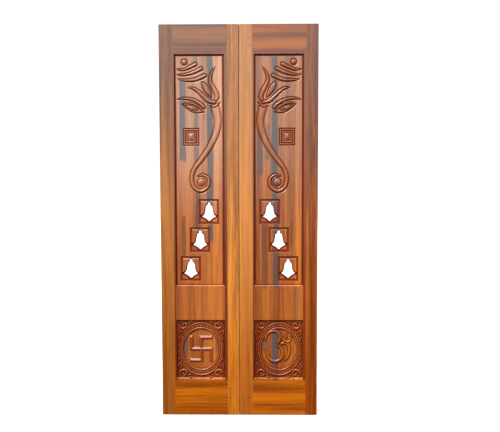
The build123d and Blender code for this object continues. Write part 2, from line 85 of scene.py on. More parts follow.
def edit(obj, *steps):
    """Runs steps in edit mode with the whole mesh selected at first."""
    pick(obj)
    bpy.ops.object.mode_set(mode="EDIT")
    bpy.ops.mesh.select_all(action="SELECT")
    for step in steps:
        step()
    bpy.ops.object.mode_set(mode="OBJECT")
    return obj


def finish_modifier(obj, kind, **settings):
    """Adds a modifier with its settings and applies it."""
    pick(obj)
    modifier = obj.modifiers.new(kind.title(), kind)
    for name, value in settings.items():
        setattr(modifier, name, value)
    bpy.ops.object.modifier_apply(modifier=modifier.name)
    return obj


def settle(obj):
    """Puts the object's place, turn and size into its mesh."""
    pick(obj)
    bpy.ops.object.transform_apply(location=True, rotation=True, scale=True)
    return obj


def clean_copy(node):
    """A copy of a CAD node with its loose triangles merged into plain flat faces."""
    source = frame["nodes"][node]
    obj = bpy.data.objects.new(f"{node}_finished", source.data.copy())
    bpy.context.scene.collection.objects.link(obj)
    obj.matrix_world = source.matrix_world
    settle(obj)
    obj.data.materials.clear()
    return edit(
        obj,
        lambda: bpy.ops.mesh.remove_doubles(threshold=0.00001),
        lambda: bpy.ops.mesh.dissolve_limited(angle_limit=math.radians(1)),
    )


# %% [markdown]
# Shader maths reads best as plain arithmetic. A Wire holds one output socket, and the operators on it
# add the Math node that does the sum.

# %% Shader arithmetic
class Wire:
    """One output socket, with arithmetic."""

    def __init__(self, tree, socket):
        self.tree = tree
        self.socket = socket

    def node(self, kind, settings=None, output=0, **inputs):
        """Adds a node: its settings first, then values or links by socket name."""
        made = self.tree.nodes.new(kind)
        for name, value in (settings or {}).items():
            setattr(made, name, value)
        for name, value in inputs.items():
            fill(made.inputs[int(name[1:]) if name[0] == "_" else name.replace("_", " ")], value)
        return Wire(self.tree, made.outputs[output])

    def maths(self, operation, *values):
        """One Math node over the given values, which this wire is only among if it is given."""
        inputs = {f"_{i}": value for i, value in enumerate(values)}
        return self.node("ShaderNodeMath", {"operation": operation}, **inputs)

    def __add__(self, other):
        return self.maths("ADD", self, other)

    def __radd__(self, other):
        return self.maths("ADD", other, self)

    def __sub__(self, other):
        return self.maths("SUBTRACT", self, other)

    def __rsub__(self, other):
        return self.maths("SUBTRACT", other, self)

    def __mul__(self, other):
        return self.maths("MULTIPLY", self, other)

    def clamp(self):
        return self.maths("MAXIMUM", self.maths("MINIMUM", self, 1.0), 0.0)

    def step(self, low, high):
        """0 below low, 1 above high, and a smooth rise between them."""
        return self.node(
            "ShaderNodeMapRange", {"interpolation_type": "SMOOTHSTEP"},
            Value=self, From_Min=low, From_Max=high, To_Min=0.0, To_Max=1.0,
        )

    def band(self, low, high, soft):
        """1 between low and high, with soft edges."""
        return self.step(low - soft, low + soft) * (1.0 - self.step(high - soft, high + soft))

    def mix(self, first, second):
        """The colour first where this wire is 0, and second where it is 1."""
        return self.node(
            "ShaderNodeMix", {"data_type": "RGBA"}, output=2, _0=self, _6=first, _7=second
        )

    def stretched(self, scale, **more):
        """This place, scaled by its own amount along each axis."""
        return self.node("ShaderNodeMapping", Vector=self, Scale=scale, **more)

    def noise(self, scale, detail=3.0, roughness=0.6, **more):
        """Noise read at this place."""
        return self.node(
            "ShaderNodeTexNoise", Vector=self, Scale=scale, Detail=detail, Roughness=roughness, **more
        )


def fill(socket, value):
    """Links a wire to a socket, or sets the socket to a plain value."""
    if isinstance(value, Wire):
        value.tree.links.new(value.socket, socket)
    else:
        socket.default_value = value


def fill_ramp(ramp, stops):
    """Sets a colour ramp's stops, given as (place, colour)."""
    while len(ramp.elements) > 1:
        ramp.elements.remove(ramp.elements[-1])
    ramp.elements[0].position, ramp.elements[0].color = stops[0]
    for place, shade in stops[1:]:
        ramp.elements.new(place).color = shade


def colour(red, green, blue):
    """A linear colour from the 0 to 255 values of a screen."""
    def linear(value):
        share = value / 255
        return share / 12.92 if share <= 0.04045 else ((share + 0.055) / 1.055) ** 2.4
    return (linear(red), linear(green), linear(blue), 1.0)


def new_material(name):
    """A material, its shader node and a Wire to start from: the object coordinates."""
    made = bpy.data.materials.new(name)
    made.use_nodes = True
    tree = made.node_tree
    shader = tree.nodes["Principled BSDF"]
    start = Wire(tree, tree.nodes.new("ShaderNodeTexCoord").outputs["Object"])
    return made, shader, start


def plug(shader, **inputs):
    """Links wires and sets plain values on a shader's sockets."""
    for name, value in inputs.items():
        fill(shader.inputs[name.replace("_", " ")], value)


def split(coordinates):
    """The three numbers of a vector wire."""
    node = coordinates.node("ShaderNodeSeparateXYZ", _0=coordinates).socket.node
    return [Wire(coordinates.tree, output) for output in node.outputs]


# %% [markdown]
# Teak is straight-grained: long fibres, a few dark latewood lines and, on flat-sawn faces, drawn-out
# arches. All of it is noise stretched along the grain. The varnish is a clear coat over the wood. The
# wood gets painted shade near the floor, darker and redder, and a painted sheen near the top, greyer.

# %% Teak
GRAIN_Z = (1.0, 1.0, 0.035)
GRAIN_X = (0.035, 1.0, 1.0)
FIGURE_SCALE, FIBRE_SCALE, PATCH_SCALE = 26.0, 420.0, 11.0
GROWTH_LINES = 9.0
TIMBER_SHARES = (0.28, 0.6, 0.12)
TIMBER_RIDGES = 0.22
COAT_ROUGHNESS = 0.24
COAT_IOR = 1.5
WOOD_SPECULAR = 0.1
GAP_SHADE_COLOUR = colour(34, 16, 9)
GRAIN_DEPTH = 0.0004
DOOR_HEIGHT = 2.06
# Painted shade low on the door and painted sheen high up, as colour factors by height.
PAINTED_SHADE_AND_SHEEN = (
    (0.14, (0.74, 0.58, 0.30, 1)),
    (0.52, (1.0, 1.0, 1.0, 1)),
    (0.90, (0.71, 0.77, 1.0, 1)),
)


def grain(start, stretch, seed):
    """Three noises drawn out along the grain: growth lines, fine fibre and broad patches."""
    placed = start.stretched(stretch, Location=(seed * 1.7, seed * 0.9, seed * 2.3))
    figure = placed.noise(FIGURE_SCALE, roughness=0.55, Distortion=0.6)
    lines = figure.maths("PINGPONG", figure * GROWTH_LINES, 1.0)
    return lines, placed.noise(FIBRE_SCALE, detail=2.0), placed.noise(PATCH_SCALE)


def late_wood(noises, line_share, patch_share, spread):
    """How much of a place is late wood, from 0 to 1."""
    lines, fibre, broad = noises
    patches = broad.step(0.5 - spread, 0.5 + spread) * patch_share
    return (lines * line_share + fibre.step(0.35, 0.7) * 0.2 + patches).clamp()


def varnish(shader, start, noises, tone, coat, ridges):
    """Wood of some tone under a clear coat, with the slight ridges that grain leaves in it."""
    lines, fibre, _ = noises
    bump = start.node(
        "ShaderNodeBump", Height=fibre * 0.5 + lines * 0.5, Strength=ridges, Distance=GRAIN_DEPTH
    )
    plug(
        shader, Base_Color=tone, Roughness=0.34 + fibre * 0.16, Coat_Weight=coat,
        Coat_Roughness=COAT_ROUGHNESS, Coat_IOR=COAT_IOR, Specular_IOR_Level=WOOD_SPECULAR,
        Normal=bump,
    )


def facing(start, axis):
    """How squarely a place faces either way along an axis: 0 is X and 1 is Y."""
    part = split(Wire(start.tree, start.socket.node.outputs["Normal"]))[axis]
    return part.maths("ABSOLUTE", part)


def painted_by_height(start, tone):
    """Painted light by height: painted shade, darker and redder, near the floor and a painted sheen,
    greyer, towards the top of the door.
    """
    tint = start.node("ShaderNodeValToRGB", Fac=split(start)[2] * (1 / DOOR_HEIGHT))
    fill_ramp(tint.socket.node.color_ramp, PAINTED_SHADE_AND_SHEEN)
    return start.node(
        "ShaderNodeMix", {"data_type": "RGBA", "blend_type": "MULTIPLY"}, output=2,
        _0=1.0, _6=tone, _7=tint,
    )


def teak(name, light, dark, stretch, seed, shaded_gap_edges=False):
    """Varnished teak: light and dark are its early and late wood, stretch its grain direction.

    Gap edges face sideways and get painted shade, dark and without coat, for the gap between the leaves.
    """
    made, shader, start = new_material(name)
    noises = grain(start, stretch, seed)
    tone = painted_by_height(start, late_wood(noises, *TIMBER_SHARES).mix(light, dark))
    coat = 1.0
    if shaded_gap_edges:
        # Painted shade for the gap between the leaves: sideways faces go dark and lose their coat.
        side = facing(start, 0).step(0.6, 0.9)
        tone = side.mix(tone, GAP_SHADE_COLOUR)
        coat = 1.0 - side
    varnish(shader, start, noises, tone, coat, TIMBER_RIDGES)
    return made


# %% [markdown]
# The carved boards are one height field each: how far the chisel went in at every place. That is how a
# carver thinks of relief, and it gives rounded crowns, V-cut outlines and sunk grounds in one skin.
# Places are in millimetres, u to the right and v down from the corner of the recess. Strokes are
# painted one over the other: a stroke is a round bead and cuts a V into what lies beside it, so a later
# stroke stands in front of an earlier one.

# %% Painting relief
def smooth_line(points, per_span=10):
    """A curve through all the points, with per_span places on each stretch."""
    points = np.array(points, float)
    ends = np.vstack([2 * points[0] - points[1], points, 2 * points[-1] - points[-2]])
    share = np.linspace(0, 1, per_span, endpoint=False)[:, None]
    spans = []
    for i in range(len(points) - 1):
        a, b, c, d = ends[i:i + 4]
        spans.append(
            0.5 * (
                2 * b + (c - a) * share + (2 * a - 5 * b + 4 * c - d) * share**2
                + (3 * b - a - 3 * c + d) * share**3
            )
        )
    return np.vstack(spans + [points[-1:]])


def distance_to_line(u, v, line):
    """For each place, how far the line is, and where along the line it comes nearest (0, 1, 2...)."""
    best = np.full(u.shape, np.inf)
    where = np.zeros(u.shape)
    for i in range(len(line) - 1):
        (au, av), (bu, bv) = line[i], line[i + 1]
        du, dv = bu - au, bv - av
        share = np.clip(((u - au) * du + (v - av) * dv) / (du * du + dv * dv + 1e-9), 0, 1)
        away = np.hypot(u - au - share * du, v - av - share * dv)
        closer = away < best
        best = np.where(closer, away, best)
        where = np.where(closer, i + share, where)
    return best, where


def depth_inside(u, v, outline):
    """How far inside a closed outline each place lies; less than 0 is outside."""
    inside = np.zeros(u.shape, bool)
    for (au, av), (bu, bv) in zip(outline, np.roll(outline, -1, axis=0)):
        crosses = (av > v) != (bv > v)
        inside ^= crosses & (u < (bu - au) * (v - av) / (bv - av + 1e-12) + au)
    away, _ = distance_to_line(u, v, np.vstack([outline, outline[:1]]))
    return np.where(inside, away, -away)


class Relief:
    """A height in millimetres at each place of a grid, with the board's face at 0."""

    def __init__(self, width, height, spacing, mirror=False):
        self.width, self.tall = width, height
        self.columns, self.rows = round(width / spacing), round(height / spacing)
        across = np.linspace(0, width, self.columns + 1)
        down = np.linspace(0, height, self.rows + 1)
        self.u, self.v = np.meshgrid(across, down)
        if mirror:
            self.u = width - self.u
        self.level = np.zeros(self.u.shape)
        # Darkening, partly painted shade, and where painted shade is allowed at all.
        self.stain = np.zeros(self.u.shape)
        self.polish = np.ones(self.u.shape)

    def near(self, points, margin):
        """The part of the grid within a margin of these points, as a mask of places."""
        points = np.array(points, float)
        low, high = points.min(0) - margin, points.max(0) + margin
        return (self.u > low[0]) & (self.u < high[0]) & (self.v > low[1]) & (self.v < high[1])

    def edge_distance(self):
        """How far each place is from the nearest side of the recess."""
        return np.minimum.reduce([self.u, self.width - self.u, self.v, self.tall - self.v])

    def box_distance(self, centre, size):
        """How far inside a square-edged outline each place lies; less than 0 is outside."""
        return np.minimum(
            size[0] / 2 - np.abs(self.u - centre[0]), size[1] / 2 - np.abs(self.v - centre[1])
        )

    def paint(self, mask, inside, outside, foot, crown, shoulder, moat):
        """Lays a rounded form over the grid: inside and outside are distances from its edge."""
        depth = np.clip(inside / np.maximum(shoulder, 0.01), 0, 1)
        body = foot + (crown - foot) * np.sqrt(1 - (1 - depth) ** 2)
        cut = np.clip(1 - outside / moat, 0, 1) if moat else np.zeros(depth.shape)
        old = self.level[mask]
        self.level[mask] = np.where(inside > 0, body, old + (foot - old) * cut)

    def stroke(self, points, widths, foot, crown, moat=6.0):
        """A bead along a curve, with a half width at each point."""
        line = smooth_line(points)
        half = np.interp(
            np.linspace(0, len(points) - 1, len(line)), range(len(points)), widths
        )
        mask = self.near(line, max(widths) + moat)
        away, where = distance_to_line(self.u[mask], self.v[mask], line)
        width = np.interp(where, range(len(half)), half)
        top = foot + (crown - foot) * np.clip(0.35 + width / 7, 0, 1)
        faint = np.clip(width / 3 + 0.25, 0, 1)
        self.paint(mask, width - away, (away - width) + moat * (1 - faint), foot, top, width, moat)

    def patch(self, outline, foot, crown, shoulder, moat=6.0):
        """A raised form with a rounded shoulder inside a closed outline."""
        outline = np.array(outline, float)
        mask = self.near(outline, moat)
        inside = depth_inside(self.u[mask], self.v[mask], outline)
        self.paint(mask, inside, -inside, foot, crown, shoulder, moat)

    def ball(self, centre, radius, foot, crown, moat=6.0):
        """A round boss."""
        mask = self.near([centre], radius + moat)
        away = np.hypot(self.u[mask] - centre[0], self.v[mask] - centre[1])
        self.paint(mask, radius - away, away - radius, foot, crown, radius, moat)

    def softened(self, places):
        """The height blurred over a few places each way."""
        reach = int(places * 2.5)
        weights = np.exp(-0.5 * (np.arange(-reach, reach + 1) / places) ** 2)
        weights /= weights.sum()
        result = self.level
        for axis in (0, 1):
            pad = [(reach, reach) if a == axis else (0, 0) for a in (0, 1)]
            padded = np.pad(result, pad, mode="edge")
            result = sum(
                weight * np.take(padded, range(i, i + result.shape[axis]), axis=axis)
                for i, weight in enumerate(weights)
            )
        return result

    def hollows(self, spacing):
        """Painted shade: 0 on open ground and crowns and up to 1 in cuts, where varnish also pools.

        The darkening field, partly painted shade in channels, darkens a place whatever its shape, and a
        0 in the field of allowed shade leaves a place with neither.
        """
        fine = self.softened(2.2 / spacing) - self.level
        wide = self.softened(6.0 / spacing) - self.level
        cavity_shade = np.clip(fine * 0.45 + wide * 0.14, 0, 1)
        return np.maximum(cavity_shade, self.stain) * self.polish


# %% [markdown]
# The upper recess holds a line drawing of an elephant-headed deity: forehead lines and a dot, a lotus
# bud between two petals, a brow and an eye, and a trunk that sweeps down into a curl. Below come a
# nested square and three bell-shaped windows. The right leaf has the same drawing the other way round.

# %% Upper drawing
GROUND = -6.0
CUT_FOOT = -10.2
CROWN = -1.2
STANDS_OUT = 0.4
FOREHEAD_LINES = (
    ((8, 72.5), (30, 74.4), (53, 73.9), (84, 60.9), (112, 47.3)),
    ((10, 99.6), (34, 101.5), (58, 99.6), (100, 88.9), (141, 69.6)),
    ((16, 120), (40, 126.7), (63, 128.7), (110, 125.8), (160, 105.4)),
)
FOREHEAD_WIDTHS = (0.5, 3, 5, 8, 9)
DOT = (53.6, 36.2)
DOT_RADIUS = 15.0
RIGHT_PETAL = (
    (215, 59.9), (194, 94.8), (188, 128.7), (199, 159.7), (216, 189.9), (222, 219.1), (206, 242.5),
)
RIGHT_PETAL_WIDTHS = (0.5, 5, 8, 10, 11, 11, 3)
LEFT_PETAL = ((70, 166.5), (103, 171.4), (131, 191.8), (156, 215.2), (180, 234.7), (210, 242.5))
LEFT_PETAL_WIDTHS = (0.5, 6, 8, 10, 11, 6)
BUD = (
    (146, 136.4), (166, 148.1), (181, 170.4), (192, 197.7), (194, 217.1), (176, 205.4), (156, 182.1),
    (145, 156.8),
)
COLLAR = ((184, 262), (213, 261), (240, 240.5))
COLLAR_WIDTHS = (1, 6.5, 1)
TRUNK = (
    (214, 273.7), (226, 336.2), (216, 402.9), (181, 477.6), (139, 538.7), (103, 585.9), (88, 636.6),
    (100, 683.2), (136, 702.1), (172, 680.2), (176, 640.5), (150, 619), (122, 626.7),
)
TRUNK_WIDTHS = (20, 18, 16, 14, 12, 10, 9.5, 9.5, 9.5, 9, 8, 6, 2)
TRUNK_BALL = (138, 657.4)
TRUNK_BALL_RADIUS = 21.0
BROW = ((9, 228.8), (58, 222), (100, 229.8), (137, 250.3), (154, 267.8))
BROW_WIDTHS = (0.5, 5, 7, 8, 8)
EYE_UPPER = ((42, 252.2), (66, 249.3), (89, 253.2), (124, 267.8), (149, 292.2))
EYE_LOWER = ((149, 292.2), (120, 297.1), (94, 291.3), (68, 275.6), (42, 252.2))
EYE_BALL_UPPER = ((60, 258.1), (82, 258.1), (104, 263.9), (126, 278.6))
EYE_BALL_LOWER = ((126, 278.6), (112, 288.3), (92, 284.4), (72, 270.8), (60, 258.1))
IRIS = (108, 275.6)
IRIS_RADIUS = 10.0
PUPIL_RADIUS = 4.0
LID = ((36, 254.2), (66, 245.4), (92, 248.3), (128, 263.9), (152, 291.3))
LID_WIDTHS = (0.5, 3.5, 4.5, 4.5, 3)
SQUARE_CENTRE = (87, 420.6)
SQUARE_SIZE = (86, 94)
SQUARE_STEPS = (0, 3, 5, 7.5, 12, 14.5, 16.5, 19, 23, 25.5, 27, 41)
SQUARE_LEVELS = (-6, -10.5, -10.5, -5.2, -5.2, -10.5, -10.5, -5.2, -5.2, -9.5, -9.5, -2.5)
BORDER_STEPS = (0, 2.6, 7.0, 10.5)
BORDER_LEVELS = (0, -10.5, -10.8, -6)
BORDER_SHADE_STEPS = (0, 1.0, 2.5, 7.5, 10.5)
BORDER_SHADES = (0.1, 0.6, 0.85, 0.7, 0)
FOOT_BEVEL = (0, 5.5, 7.5)
FOOT_LEVELS = (0, -6.0, -10.8)
STROKE_DARKENING = 0.31
TRUNK_DARKENING = 0.21

BELL_PLACES = ((177.0, 811.5), (129.5, 961.0), (79.5, 1114.0))
BELL_FRAME = (108.0, 133.0)
BELL_FRAME_STEPS = (0, 1.2, 2.6, 10.0, 12.0, 14.0)
BELL_FRAME_DROPS = (0, -3.2, -4.4, -4.4, -3.8, -2.2)
BELL_FRAME_SHADE_STEPS = (0, 1.5, 10.5, 13.0)
BELL_FRAME_SHADES = (0, 0.66, 0.66, 0)
BELL_SIDE = (
    (7, 46), (7, 41.5), (5.6, 38), (11, 34.5), (16.5, 28), (19, 17), (21, 3), (24, -10), (30, -19.5),
    (37, -25),
)
BELL_TOP = 50.0
BELL_FOOT = 50.0
CLAPPER = (9, -42)
BELL_RIM_DROPS = (-20, 6, 18)
BELL_RIM_WIDTHS = (4.2, 5.0, 10.0)
BELL_RIM_DEPTH = 8.0
BELL_RIM_RUN = 1.6
BELL_RIM_SHADE = 0.95
DATUM = 4.0


def bell_outline(centre):
    """The bell as a closed outline: crown, flared skirt and the point of the clapper."""
    side = [tuple(p) for p in smooth_line(BELL_SIDE, 6)]
    right = [(4.0, BELL_TOP - 1.4)] + side
    right += [(21, -34), CLAPPER, (5, -47.5)]
    left = [(-x, y) for x, y in reversed(right)]
    whole = [(0, BELL_TOP)] + right + [(0, -BELL_FOOT)] + left
    return np.array([(centre[0] + x, centre[1] - y) for x, y in whole])


def upper_relief(width, height, spacing, mirror):
    """The whole upper recess with its drawing."""
    relief = Relief(width, height, spacing, mirror)
    from_foot = relief.tall - relief.v
    sides = np.minimum.reduce([relief.u, relief.width - relief.u, relief.v])
    around = np.interp(sides, BORDER_STEPS, BORDER_LEVELS)
    below = np.interp(from_foot, FOOT_BEVEL + (BORDER_STEPS[-1],), FOOT_LEVELS + (GROUND,))
    relief.level = np.where(sides < from_foot, around, below)
    # Painted shade fills the border groove, and the foot bevel is kept free of it.
    relief.stain = np.interp(relief.edge_distance(), BORDER_SHADE_STEPS, BORDER_SHADES)
    relief.polish = np.where(from_foot < FOOT_BEVEL[1], 0.0, 1.0)
    relief.v = relief.v - DATUM
    for points in FOREHEAD_LINES:
        relief.stroke(points, FOREHEAD_WIDTHS, CUT_FOOT, CROWN)
    relief.ball(DOT, DOT_RADIUS, CUT_FOOT, CROWN + 0.5)
    for points, widths in ((RIGHT_PETAL, RIGHT_PETAL_WIDTHS), (LEFT_PETAL, LEFT_PETAL_WIDTHS)):
        relief.stroke(points, widths, CUT_FOOT, CROWN)
    relief.patch(smooth_line(BUD + BUD[:1], 4)[:-1], CUT_FOOT, CROWN, 9.0, moat=5.0)
    before = relief.level.copy()
    relief.stroke(TRUNK, TRUNK_WIDTHS, CUT_FOOT, CROWN + 0.6)
    trunk = relief.level > np.maximum(before, GROUND + STANDS_OUT)
    relief.stroke(COLLAR, COLLAR_WIDTHS, CUT_FOOT, CROWN, moat=5.0)
    relief.ball(TRUNK_BALL, TRUNK_BALL_RADIUS, CUT_FOOT, CROWN + 1.0, moat=4.0)
    lids = np.vstack([smooth_line(EYE_UPPER)[:-1], smooth_line(EYE_LOWER)[:-1]])
    relief.patch(lids, CUT_FOOT, CROWN - 1.5, 5.0)
    ball = np.vstack([smooth_line(EYE_BALL_UPPER)[:-1], smooth_line(EYE_BALL_LOWER)[:-1]])
    relief.patch(ball, CUT_FOOT + 1, CROWN - 0.5, 9.0, moat=3.0)
    relief.ball(IRIS, IRIS_RADIUS, CUT_FOOT + 2.5, CROWN, moat=2.0)
    relief.ball(IRIS, PUPIL_RADIUS, CUT_FOOT + 3.5, CROWN + 0.2, moat=2.0)
    relief.stroke(LID, LID_WIDTHS, CUT_FOOT, CROWN, moat=4.0)
    relief.stroke(BROW, BROW_WIDTHS, CUT_FOOT, CROWN)
    # Standing strokes, the trunk and the nested square are darkened a little.
    clear = np.minimum(sides, from_foot) > BORDER_STEPS[-1]
    standing = (relief.level > GROUND + STANDS_OUT) & clear
    relief.stain = np.where(standing, np.where(trunk, TRUNK_DARKENING, STROKE_DARKENING), relief.stain)
    inside = relief.box_distance(SQUARE_CENTRE, SQUARE_SIZE)
    relief.level = np.where(
        inside > 0, np.interp(inside, SQUARE_STEPS, SQUARE_LEVELS), relief.level
    )
    relief.stain = np.where(inside > 0, STROKE_DARKENING, relief.stain)
    for centre in BELL_PLACES:
        inside = relief.box_distance(centre, BELL_FRAME)
        mask = inside > 0
        floor = GROUND + np.interp(inside[mask], BELL_FRAME_STEPS, BELL_FRAME_DROPS)
        v = relief.v[mask]
        away = np.maximum(-depth_inside(relief.u[mask], v, bell_outline(centre)), 0)
        reach = np.interp(v - centre[1], BELL_RIM_DROPS, BELL_RIM_WIDTHS)
        rim = np.clip((reach - away) / BELL_RIM_RUN, 0, 1)
        relief.level[mask] = floor - BELL_RIM_DEPTH * rim
        # Painted shade darkens the frame's channel and the rim round the bell.
        channel = np.interp(inside[mask], BELL_FRAME_SHADE_STEPS, BELL_FRAME_SHADES)
        relief.stain[mask] = np.maximum(channel, rim * BELL_RIM_SHADE)
    relief.v = relief.v + DATUM
    return relief


# %% [markdown]
# The lower recess is cut deeper. An oval band of two rolls with beads between them frames the symbol,
# and scrolls and leaves fill the corners. The left leaf has the swastika of Hindu tradition, a sign of
# well-being, with roof-shaped arms, and the right leaf has Om in rounded strokes.

# %% Lower carving
FLOOR = -12.0
WALL_STEPS = (0, 1, 5)
WALL_LEVELS = (0, -1.5, -12)
SILL_STEPS = (0, 6.5, 8)
SILL_LEVELS = (0, -9, -12)
LIP_STEPS = (0, 0.5)
LIP_LEVELS = (0, -0.4)
LOWER_DARKENING = 0.36
SIGN_DARKENING = 0.42
BAND_SHADE, FIELD_DARKENING = 0.5, 0.17
FIELD_EDGE = (1, 1.15)
OVAL_CENTRE = (131.5, 158.5)
OVAL_OUTER = (121.0, 145.5)
OVAL_INNER = (94.0, 107.5)
BAND_STEPS = (0, 0.03, 0.07, 0.12, 0.19, 0.25, 0.30, 0.66, 0.71, 0.77, 0.84, 0.92, 1.0)
BAND_LEVELS = (-12, -6.5, -4, -3.2, -4, -7.5, -8.6, -8.6, -6, -3.6, -3.2, -4.4, -11.4)
FIELD = -11.0
BEADS = 62
BEAD_LENGTH = 4.9
BEAD_SHARE = 0.17
BEAD_RISE = 5.2
BEAD_FOOT = -8.6
BEAD_MIDDLE = 0.48
SIGN_TOP = -2.6
GRID = (26.0, 31.0)
BAR = 21.0
ROOF_SLOPE = 0.7
OM_STROKES = (
    (((62.5, 122.2), (61.5, 97.6), (74.5, 73), (96.5, 61.8), (119.5, 64.8), (135.5, 83.3),
      (135.5, 109.9), (112.5, 134.5)), (1, 6, 8, 9, 9, 9, 8, 2)),
    (((108.5, 134.5), (138.5, 148.8), (150.5, 172.3), (148.5, 197.9), (134.5, 217.4), (111.5, 225.6),
      (88.5, 218.4), (74.5, 200), (66.5, 177.5), (48.5, 157)), (2, 8, 9, 9, 9, 9, 9, 8, 6, 1)),
    (((128.5, 142.7), (152.5, 125.2), (173.5, 130.4), (185.5, 149.8), (185.5, 177.5), (176.5, 204.1),
      (158.5, 226.6)), (1, 8, 9, 9, 8, 7, 1)),
    (((152.5, 89.4), (159.5, 111.9), (174.5, 119.1), (190.5, 111.9), (197.5, 87.4)), (1, 6, 7, 6, 1)),
)
OM_DROP = ((172.5, 73), (178.5, 85.3), (178.5, 95.5), (172.5, 100.7), (166.5, 95.5), (166.5, 85.3))
CORNER_TOP = -3.5
CORNER_BERRY = (36, 29)
BERRY_RADIUS = 5.5
SCROLL_TOP = -3.0
CORNER_SCROLL = (
    (22, 14.3), (19, 30.7), (26, 43), (39, 47.1), (52, 38.9), (53, 25.6), (43, 18.4), (34, 23.6),
    (35, 32.8),
)
CORNER_SCROLL_WIDTHS = (2, 5, 6.5, 7, 6.5, 5.5, 4.5, 4, 3)
CORNER_STROKES = (
    (((13, 49.2), (9, 63.5), (14, 79.9), (24, 90.1)), (1.5, 5, 5, 1)),
    (((24, 53.2), (26, 67.6), (22, 75.8)), (1, 5, 1)),
    (((62, 10.2), (78, 8.2), (92, 10.2)), (1.5, 4, 1)),
    (((58, 22.5), (70, 19.5), (80, 20.5)), (1, 4.5, 1)),
    (((9, 94.2), (14, 104.4), (10, 118.8)), (1.5, 4.5, 1)),
    (((6, 122.9), (10, 137.2), (7, 151.6)), (1, 3.5, 1)),
    (((10, 8.2), (14, 11.3), (12, 20.5)), (2, 4, 1)),
)


def oval_share(relief):
    """0 on the oval's outer edge, 1 on the inner one, and the angle round it."""
    x, y = relief.u - OVAL_CENTRE[0], OVAL_CENTRE[1] - relief.v
    turn = np.arctan2(y, x)
    reach = np.hypot(x, y)

    def radius(half):
        return 1 / np.hypot(np.cos(turn) / half[0], np.sin(turn) / half[1])

    outer, inner = radius(OVAL_OUTER), radius(OVAL_INNER)
    return (outer - reach) / (outer - inner), turn


def lower_relief(width, height, spacing, symbol):
    """The whole lower recess with its corners, its band and its symbol."""
    relief = Relief(width, height, spacing)
    from_edge = relief.edge_distance()
    from_foot = relief.tall - relief.v
    relief.level = np.interp(from_edge, WALL_STEPS, WALL_LEVELS)
    relief.level = np.maximum(relief.level, np.interp(from_foot, SILL_STEPS, SILL_LEVELS))
    relief.level = np.minimum(relief.level, np.interp(from_edge, LIP_STEPS, LIP_LEVELS))
    # The whole recess is darkened a little, and the sill is kept free of painted shade.
    relief.stain[:] = LOWER_DARKENING
    relief.polish = np.where(from_foot < SILL_STEPS[1] - 1.0, 0.0, 1.0)
    for flip_u in (False, True):
        for flip_v in (False, True):
            def placed(points):
                return [
                    (width - u if flip_u else u, height - v if flip_v else v) for u, v in points
                ]
            for points, widths in CORNER_STROKES:
                relief.stroke(placed(points), widths, FLOOR - 0.5, CORNER_TOP, moat=3.0)
            scroll = placed(CORNER_SCROLL)
            relief.stroke(scroll, CORNER_SCROLL_WIDTHS, FLOOR - 0.5, SCROLL_TOP, moat=3.0)
            relief.ball(placed([CORNER_BERRY])[0], BERRY_RADIUS, FLOOR, CORNER_TOP, moat=2.0)
    share, turn = oval_share(relief)
    band = np.interp(share, BAND_STEPS, BAND_LEVELS)
    middle = [(a + b) / 2 for a, b in zip(OVAL_OUTER, OVAL_INNER)]
    angles = np.linspace(-math.pi, math.pi, 721)
    radii = 1 / np.hypot(np.cos(angles) / middle[0], np.sin(angles) / middle[1])
    steps = np.hypot(np.diff(radii * np.cos(angles)), np.diff(radii * np.sin(angles)))
    along = np.concatenate([[0], np.cumsum(steps)])
    pitch = along[-1] / BEADS
    place = (np.interp(turn, angles, along) / pitch) % 1.0 - 0.5
    round_bead = 1 - (place * pitch / BEAD_LENGTH) ** 2 - ((share - BEAD_MIDDLE) / BEAD_SHARE) ** 2
    band = np.maximum(band, BEAD_FOOT + BEAD_RISE * np.sqrt(np.clip(round_bead, 0, 1)))
    relief.level = np.where(share > 0, band, relief.level)
    relief.level = np.where(share >= 1, FIELD, relief.level)
    # Painted shade runs along the field's edge at the foot of the band; the rest of the field is
    # darkened a little.
    field_shade_and_darkening = np.interp(share, FIELD_EDGE, (BAND_SHADE, FIELD_DARKENING))
    relief.stain = np.where(share >= 1, field_shade_and_darkening, relief.stain)
    if symbol == "om":
        for points, widths in OM_STROKES:
            relief.stroke(points, widths, FIELD - 0.5, SIGN_TOP, moat=3.0)
        relief.patch(smooth_line(OM_DROP + OM_DROP[:1], 4)[:-1], FIELD - 0.5, SIGN_TOP, 6.0, moat=3.0)
    else:
        bars = (
            ((0, 0), (0, 4)), ((0, 0), (4, 0)),
            ((1, 2), (2, 0)), ((-1, -2), (2, 0)),
            ((2, -1), (0, 2)), ((-2, 1), (0, 2)),
        )
        roof = np.zeros(relief.u.shape)
        for (right, up), (wide, high) in bars:
            centre = (OVAL_CENTRE[0] + right * GRID[0], OVAL_CENTRE[1] - up * GRID[1])
            inside = relief.box_distance(centre, (wide * GRID[0] + BAR, high * GRID[1] + BAR))
            roof = np.maximum(roof, inside * ROOF_SLOPE)
        relief.level = np.where(roof > 0, np.maximum(relief.level, FIELD + roof), relief.level)
        relief.stain = np.where(roof > 0, np.maximum(relief.stain, SIGN_DARKENING), relief.stain)
    return relief


# %% [markdown]
# The leaf's timbers are plain, but their edges decide whether they look real: a plane takes a hair off
# every edge, and that hair catches the light and draws the joint lines. Each CAD timber is copied,
# cleaned and given a small bevel, and it stands for its node.

# %% Timbers
EDGE = 0.0007
FRAME_EDGE = 0.0012
TIMBER_SMOOTH = 30


def smooth_below(obj, degrees):
    """Shades smooth over every edge that turns by less than this."""
    pick(obj)
    bpy.ops.object.shade_smooth_by_angle(angle=math.radians(degrees))


def give(obj, material):
    """Makes this the object's only material."""
    obj.data.materials.clear()
    obj.data.materials.append(material)


